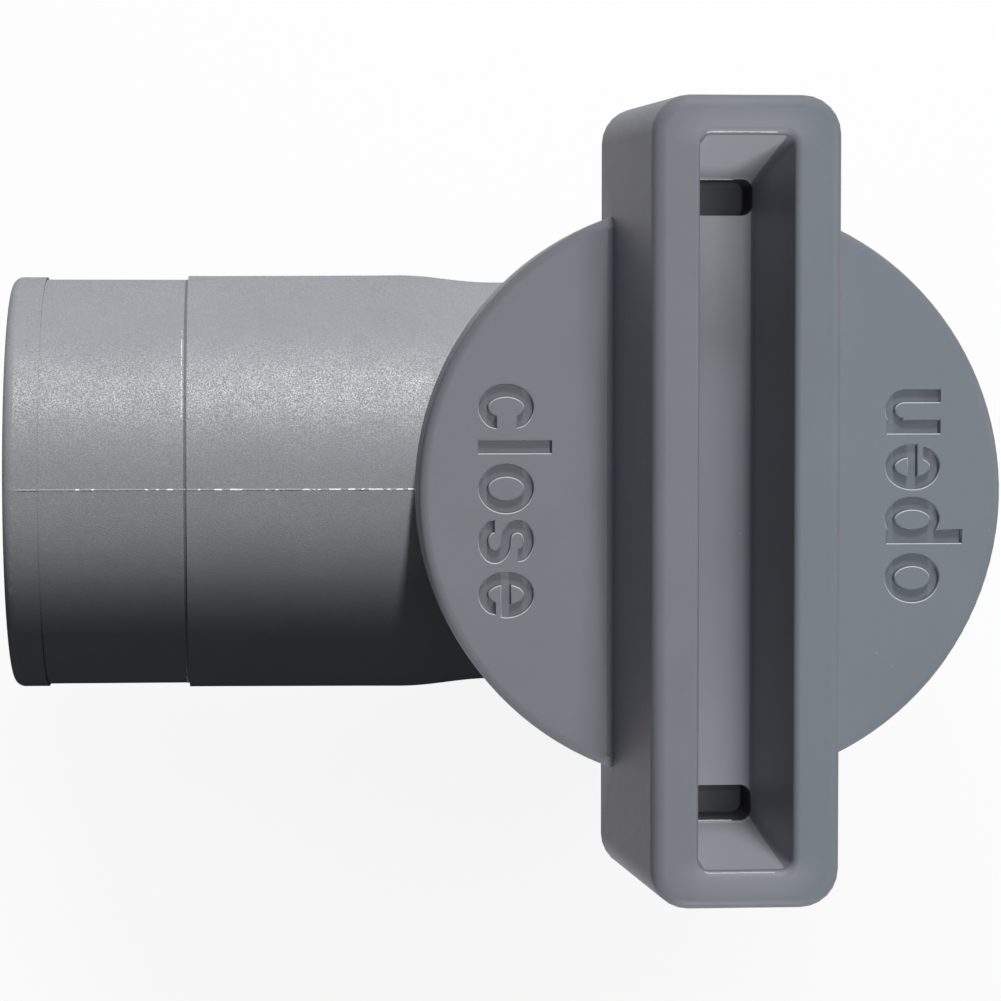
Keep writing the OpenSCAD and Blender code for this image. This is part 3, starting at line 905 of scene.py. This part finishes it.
def ridge(name, path, seed, body="housing", width=RIDGE_WIDTH, sink=RIDGE_SINK, wild=1.0, material=None):
    """A strip along a path of places, each with its direction up and its direction across."""
    wander = np.random.default_rng(seed)
    fine = wander.random(len(path)) - 0.5
    slow = np.convolve(wander.random(len(path) + 2 * SLOW_STEPS), np.ones(SLOW_STEPS) / SLOW_STEPS, "same")
    slow = slow[SLOW_STEPS:-SLOW_STEPS] - 0.5
    height = RIDGE_HEIGHT * (0.5 + wild * (SLOW_SWING * slow + FINE_SWING * fine)) - sink
    points = []
    for (place, up, across), rise in zip(path, height):
        half = across * width / 2
        low = place - up * (sink + RIDGE_ROOT)
        top = place + up * float(rise)
        points += [low - half, top - half * RIDGE_TOP_SHARE, top + half * RIDGE_TOP_SHARE, low + half]
    faces = []
    for first in range(0, 4 * (len(path) - 1), 4):
        for k in range(4):
            after = (k + 1) % 4
            faces.append((first + k, first + after, first + 4 + after, first + 4 + k))
    last = 4 * (len(path) - 1)
    faces += [(3, 2, 1, 0), (last, last + 1, last + 2, last + 3)]
    piece = add_piece(name, mesh_from(name, points, faces), body, material or flash_plastic)
    piece.data.shade_flat()


print("a ridge is", RIDGE_WIDTH, "mm wide and up to", RIDGE_HEIGHT, "mm high")

# %% [markdown]
# The outlet isn't a plain cylinder, so its ridges need its outline. That is read off the packed
# mesh: the points of the crown, sorted along the pipe, give a radius for every place. Where the
# radius jumps down, there is the step for the hose.

# %% Parting lines of the housing
ALONG_Y = Vector((0, 1, 0))
CROWN_HALF_WIDTH = 0.4
CROWN_ABOVE_AXIS = 19.0
OUTLET_START = -24.3
LINE_START = -24.6
LINE_END_MARGIN = 1.2
BACK_FROM, BACK_TO = 5.2, 4.0

body_points = np.array([vertex.co for vertex in nodes["valve_body"].data.vertices]) / MM
on_crown = (np.abs(body_points[:, 1]) < CROWN_HALF_WIDTH) & (body_points[:, 0] < OUTLET_START)
crown = body_points[on_crown & (body_points[:, 2] > outlet_axis + CROWN_ABOVE_AXIS)]
order = np.argsort(-crown[:, 0], kind="stable")
profile_x, profile_r = -crown[order, 0], crown[order, 2] - outlet_axis


def outlet_radius_at(x):
    """Outside radius of the outlet pipe at a place along it."""
    return float(np.interp(-x, profile_x, profile_r))


line_x = np.arange(LINE_START, body_low.x + LINE_END_MARGIN, -RIDGE_STEP)
for name, side, seed in (("parting_line_top", 1, 11), ("parting_line_under", -1, 12)):
    route = [Vector((x, 0, outlet_axis + side * outlet_radius_at(x))) for x in line_x]
    path = [(place, Vector((0, 0, side)), ALONG_Y) for place in route]
    ridge(name, path, seed, width=0.26, sink=0.02, wild=0.45, material=seam_plastic)
line_z = np.arange(tail_high.z - BACK_FROM, body_high.z - BACK_TO, RIDGE_STEP)
route = [Vector((body_high.x - 0.02, 0, z)) for z in line_z]
ridge("parting_line_back", [(place, Vector((1, 0, 0)), ALONG_Y) for place in route], 13)
print("parting lines:", len(line_x), "steps along the outlet,", len(line_z), "up the back")

# %% [markdown]
# Two more strips belong to the outlet's step. A dark strip of painted shade lies in the corner
# all the way round, and a painted highlight lies on a short part of the step's edge, on the side
# that faces up in the picture. Both are ridges again, along a part of a circle.

# %% Painted shade and a painted highlight at the outlet's step
STEP_DROP = 0.2


def outlet_ring(name, x, seed, start=0.0, end=2 * math.pi, **look):
    """A ridge round the hose's seat, or along a part of the turn."""
    path = []
    for turn in np.linspace(start, end, int((end - start) * spigot_radius / RIDGE_STEP)):
        up = Vector((0, math.sin(turn), math.cos(turn)))
        path.append((Vector((x, 0, outlet_axis)) + up * spigot_radius, up, Vector((1, 0, 0))))
    ridge(name, path, seed, **look)


step_x = -float(profile_x[np.flatnonzero(np.diff(profile_r) < -STEP_DROP)[0]])
# a dark strip of painted shade in the step's corner
outlet_ring("step_painted_shade", step_x - 0.17, 14, width=0.42, sink=0.035, wild=0.1, material=corner_shade)
# a pale strip as painted highlight, only where the lamp's highlight falls
outlet_ring("step_painted_highlight", step_x - 0.48, 15, start=0.34, end=0.84, width=0.16, sink=0.060)
print("step at", round(step_x, 2), "mm along the outlet")

# %% [markdown]
# The handle's recess is made by a core that slides into the mould. Where the core met the
# cavity it left a ragged line across each end: one along the rim's inner edge, and one where
# the end wall drops into the deep well. Their places are found by shooting a ray from over
# the well to the end wall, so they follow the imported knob.

# %% Flash lines in the handle
FLASH_STEP = 0.20
RIM_DROP = 0.28
WELL_DROP = 0.10

knob_tree = BVHTree.FromPolygons(
    [vertex.co.copy() for vertex in nodes["turn_knob"].data.vertices],
    [tuple(polygon.vertices) for polygon in nodes["turn_knob"].data.polygons],
)


def end_wall_y(x, z, end):
    """Where a ray from over the well meets the end wall, in millimetres."""
    start = Vector((x, end * (WELL_FROM + WELL_TO) / 2, z))
    found = knob_tree.ray_cast(start * MM, Vector((0, end, 0)))[0]
    return found.y / MM


for place_name, z, from_x, to_x, seed in (
    ("rim", knob_high.z - RIM_DROP, -3.5, 2.6, 21),
    ("well", disc_face - WELL_DROP, -2.9, 2.1, 23),
):
    for end_name, end in (("upper", 1), ("lower", -1)):
        line = [Vector((x, end_wall_y(x, z, end), z)) for x in np.arange(from_x, to_x, FLASH_STEP)]
        outward = Vector((0, -end, 1)).normalized()
        along_wall = Vector((0, end, 1)).normalized()
        path = [(place, outward, along_wall) for place in line]
        ridge(f"flash_{place_name}_{end_name}", path, seed + end, body="rotor", sink=0.0, wild=0.7)
print("flash lines at", round(end_wall_y(0, disc_face - WELL_DROP, 1), 2), "mm and its mate")

# %% [markdown]
# The tail carries a pipe thread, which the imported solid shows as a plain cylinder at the
# thread's crests. Its copy is turned as on a lathe: a profile runs up the outside and down the
# bore, and goes round the axis. Above the thread the profile has the solid's own corners.

# %% Profile of the tail above its thread
BORE_RADIUS = 18.2
NECK_RADIUS = 20.5
COLLAR_RADIUS = 21.25
GROOVE_RADIUS, GROOVE_LOW, GROOVE_HIGH = 19.4, 7.6, 10.0
GASKET = 2.0
FLANGE_TOP = 6.0
FLANGE_EDGE = 0.8

flange_radius = tail_high.x
edge = FLANGE_EDGE * (1 - math.sqrt(0.5))
upper_profile = [
    (NECK_RADIUS, 0.0),
    (NECK_RADIUS, GASKET),
    (flange_radius - FLANGE_EDGE, GASKET),
    (flange_radius - edge, GASKET + edge),
    (flange_radius, GASKET + FLANGE_EDGE),
    (flange_radius, FLANGE_TOP - FLANGE_EDGE),
    (flange_radius - edge, FLANGE_TOP - edge),
    (flange_radius - FLANGE_EDGE, FLANGE_TOP),
    (COLLAR_RADIUS, FLANGE_TOP),
    (COLLAR_RADIUS, GROOVE_LOW),
    (GROOVE_RADIUS, GROOVE_LOW),
    (GROOVE_RADIUS, GROOVE_HIGH),
    (COLLAR_RADIUS, GROOVE_HIGH),
    (COLLAR_RADIUS, tail_high.z),
    (BORE_RADIUS, tail_high.z),
    (BORE_RADIUS, tail_high.z / 2),
    (BORE_RADIUS, tail_low.z / 2),
    (BORE_RADIUS, tail_low.z),
]
print("profile:", len(upper_profile), "corners above the thread and in the bore")

# %% [markdown]
# The thread's radius dips once for every pitch, and the dip climbs as the profile turns, so the
# groove becomes a helix. A Screw modifier makes a helix too, but here the groove can run out
# under the flange and the end has its chamfer. Nothing stands out past the crests, so the tail
# keeps the size that the frame says.

# %% Thread of the tail
PITCH = 2.309
THREAD_DEPTH = 1.35
CREST_SHARE = 0.14
FLANK_SHARE = 0.74
RUN_OUT = 2.2
END_CHAMFER = 1.0
ROWS_PER_PITCH = 14
TURN_STEPS = 160

thread_rows = int(-tail_low.z / PITCH * ROWS_PER_PITCH)
thread_z = [tail_low.z * (1 - row / thread_rows) for row in range(thread_rows + 1)]


def smooth_step(value):
    value = min(1.0, max(0.0, value))
    return value * value * (3 - 2 * value)


def thread_surface(z, turn):
    """Radius of the thread at a height, with turn running from 0 to 1 round the axis."""
    phase = (z / PITCH - turn) % 1.0
    dip = smooth_step((abs(2 * phase - 1) - CREST_SHARE) / FLANK_SHARE)
    run_out = smooth_step(-z / RUN_OUT)
    lead_in = thread_radius - END_CHAMFER + (z - tail_low.z)
    return min(thread_radius - THREAD_DEPTH * dip * run_out, lead_in)


print("thread:", thread_rows, "rows,", round(-tail_low.z / PITCH, 1), "turns")

# %% [markdown]
# Now the profile is turned. Each step round the axis gives one column of corners, and the last
# column is joined to the first. The copy takes the place of the CAD node in every picture.

# %% Turn the tail
points = []
for step in range(TURN_STEPS):
    turn = step / TURN_STEPS
    angle = 2 * math.pi * turn
    column = [(thread_surface(z, turn), z) for z in thread_z] + upper_profile
    points += [(r * math.cos(angle), r * math.sin(angle), z) for r, z in column]
height = len(points) // TURN_STEPS
faces = [
    (
        step * height + row,
        (step + 1) % TURN_STEPS * height + row,
        (step + 1) % TURN_STEPS * height + (row + 1) % height,
        step * height + (row + 1) % height,
    )
    for step in range(TURN_STEPS)
    for row in range(height)
]
tail_mesh = mesh_from("tail_with_thread", points, faces)
tail = add_piece("tail_with_thread", tail_mesh, "housing", housing_plastic)
shade_moulded(tail)
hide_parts("inlet_tail")
print("tail:", len(points), "corners in", TURN_STEPS, "columns")

# %% [markdown]
# The floor is plain and pale. To the camera, and to a mirrored or clear ray, it is almost pure
# white, and only the part that is left takes the valve's soft shadow. For all other rays it is
# a dark grey, so that it throws little light back up and the underside stays as dark as in a
# studio with a black table. The world behind it is handled the same way.

# %% Floor
FLOOR_WHITE_SHARE = 0.90
FLOOR_SIZE = 6.0
FLOOR_SEEN = (0.80, 0.80, 0.80, 1.0)
FLOOR_ELSEWHERE = (0.10, 0.10, 0.10, 1.0)


def seen_share(network):
    """1 for rays from the camera, and for mirrored or clear ones; 0 for the rest."""
    camera_ray, glossy_ray, clear_ray = (
        network.node("ShaderNodeLightPath", output=f"Is {kind} Ray")
        for kind in ("Camera", "Glossy", "Transmission")
    )
    return camera_ray.maths("MAXIMUM", glossy_ray).maths("MAXIMUM", clear_ray)


floor_finish = bpy.data.materials.new("pale_floor")
network = Network(floor_finish)
network.tree.nodes.clear()
seen = seen_share(network)
paper_colour = network.mix(seen, FLOOR_ELSEWHERE, FLOOR_SEEN)
paper = network.node("ShaderNodeBsdfDiffuse", {}, {"Color": paper_colour})
glow = network.node("ShaderNodeEmission")
surface = network.node("ShaderNodeMixShader", {}, {0: seen * FLOOR_WHITE_SHARE, 1: paper, 2: glow})
network.node("ShaderNodeOutputMaterial", {}, {"Surface": surface})

half = FLOOR_SIZE / 2
floor_mesh = bpy.data.meshes.new("floor")
corners = [(-half, -half, 0), (half, -half, 0), (half, half, 0), (-half, half, 0)]
floor_mesh.from_pydata(corners, [], [(0, 1, 2, 3)])
floor = bpy.data.objects.new("floor", floor_mesh)
floor.location.z = tail_low.z * MM
bpy.context.scene.collection.objects.link(floor)
floor_mesh.materials.append(floor_finish)
print("floor at", round(floor.location.z, 4), "m")

# %% [markdown]
# The world has two faces as well. The camera, and every mirrored or clear ray, meets a white
# backdrop, so metal and gloss have something pale to show. All other rays meet a dim room, a
# trifle blue, which gives the deepest shadows their last bit of light.

# %% Background
ROOM_COLOUR = (0.93, 0.95, 1.0, 1.0)
ROOM_STRENGTH = 0.03
WHITE = (1.0, 1.0, 1.0, 1.0)

world = bpy.data.worlds.new("studio")
bpy.context.scene.world = world
network = Network(world)
network.tree.nodes.clear()
room = network.node("ShaderNodeBackground", {}, {"Color": ROOM_COLOUR, "Strength": ROOM_STRENGTH})
backdrop = network.node("ShaderNodeBackground", {}, {"Color": WHITE})
surface = network.node("ShaderNodeMixShader", {}, {0: seen_share(network), 1: room, 2: backdrop})
network.node("ShaderNodeOutputWorld", {}, {"Surface": surface})
print("the room gives", ROOM_STRENGTH, "and the backdrop looks white")

# %% [markdown]
# Every lamp is a soft box: an area light that looks at one point of the valve. Light linking
# gives each lamp its pieces, as a photographer does with black cards between a lamp and what it
# mustn't light. The pieces that a lamp may throw shadows with can be chosen too, and a lamp
# without shadow gets only the floor.

# %% A soft box
LAMP_DISTANCE = 0.9


def soft_light(name, direction, size, watts, pieces, target, distance=LAMP_DISTANCE, shaded=True):
    """A soft box that looks at a point of the valve and lights only the given pieces."""
    lamp = bpy.data.lights.new(name, "AREA")
    lamp.shape = "RECTANGLE"
    lamp.size, lamp.size_y = size
    lamp.energy = watts
    holder = bpy.data.objects.new(name, lamp)
    aim = Vector(target) * MM
    place = aim + Vector(direction).normalized() * distance
    facing = (place - aim).to_track_quat("Z", "Y")
    holder.matrix_world = Matrix.Translation(place) @ facing.to_matrix().to_4x4()
    bpy.context.scene.collection.objects.link(holder)
    lit = bpy.data.collections.new(f"lit_by_{name}")
    for piece in pieces:
        lit.objects.link(piece)
    holder.light_linking.receiver_collection = lit
    if not shaded:
        shading = bpy.data.collections.new(f"shading_{name}")
        shading.objects.link(floor)
        holder.light_linking.blocker_collection = shading


print("a soft box stands", LAMP_DISTANCE, "m from what it lights")

# %% [markdown]
# In the photograph the outlet is bright above and almost black below, so its light came from
# above the picture, and a weak fill from the lower left keeps its underside from going black.
# The knob is lit otherwise: its floor and both end walls are about equally bright, and its long
# walls are dark. So it gets lamps of its own: one in front, a strip above the picture, and two
# low edge lamps for the end walls and for the thin bright lines round the letters. Three more
# stand at its sides and throw no shadow.

# %% Lights
FILL_DISTANCE = 0.22
VALVE_MIDDLE = (0, 0, 45)
DISC_CENTRE = (0, 0, disc_face)

meshes = [thing for thing in bpy.context.scene.objects if thing.type == "MESH"]
knob_pieces = [
    thing for thing in meshes if thing in (knob, nodes["turn_knob"]) or thing.name.startswith("flash_")
]
other_pieces = [thing for thing in meshes if thing not in knob_pieces and thing != floor]


def knob_light(name, direction, size, watts, shaded=True):
    soft_light(name, direction, size, watts, knob_pieces, DISC_CENTRE, shaded=shaded)


soft_light("floor_lamp", (0.10, 0.60, 0.79), (0.9, 0.9), 14.0, [floor], VALVE_MIDDLE)
soft_light("key", (0.04, 0.80, 0.59), (0.05, 0.36), 13.0, other_pieces, VALVE_MIDDLE)
soft_light("fill", (-0.55, -0.55, 0.63), (0.08, 0.08), 0.028, other_pieces, VALVE_MIDDLE, FILL_DISTANCE)
knob_light("front", (0.05, 0.03, 0.99), (0.06, 0.30), 2.5)
knob_light("strip_above", (0.05, 0.70, 0.70), (0.06, 0.16), 2.4)
knob_light("edge_above", (0.042, 0.94, 0.33), (0.05, 0.14), 2.7)
knob_light("edge_below", (0.042, -0.94, 0.33), (0.05, 0.14), 4.2)
knob_light("side_above", (0.02, 1.0, 0.02), (0.10, 0.10), 0.8, shaded=False)
knob_light("side_below", (0.02, -1.0, 0.02), (0.10, 0.10), 0.8, shaded=False)
knob_light("side_right", (0.97, 0.10, 0.22), (0.10, 0.20), 2.0, shaded=False)

# %% [markdown]
# The picture is shown with plain tones, so a colour renders as it was written.

# %% Tones and the end
bpy.context.scene.view_settings.view_transform = "Standard"
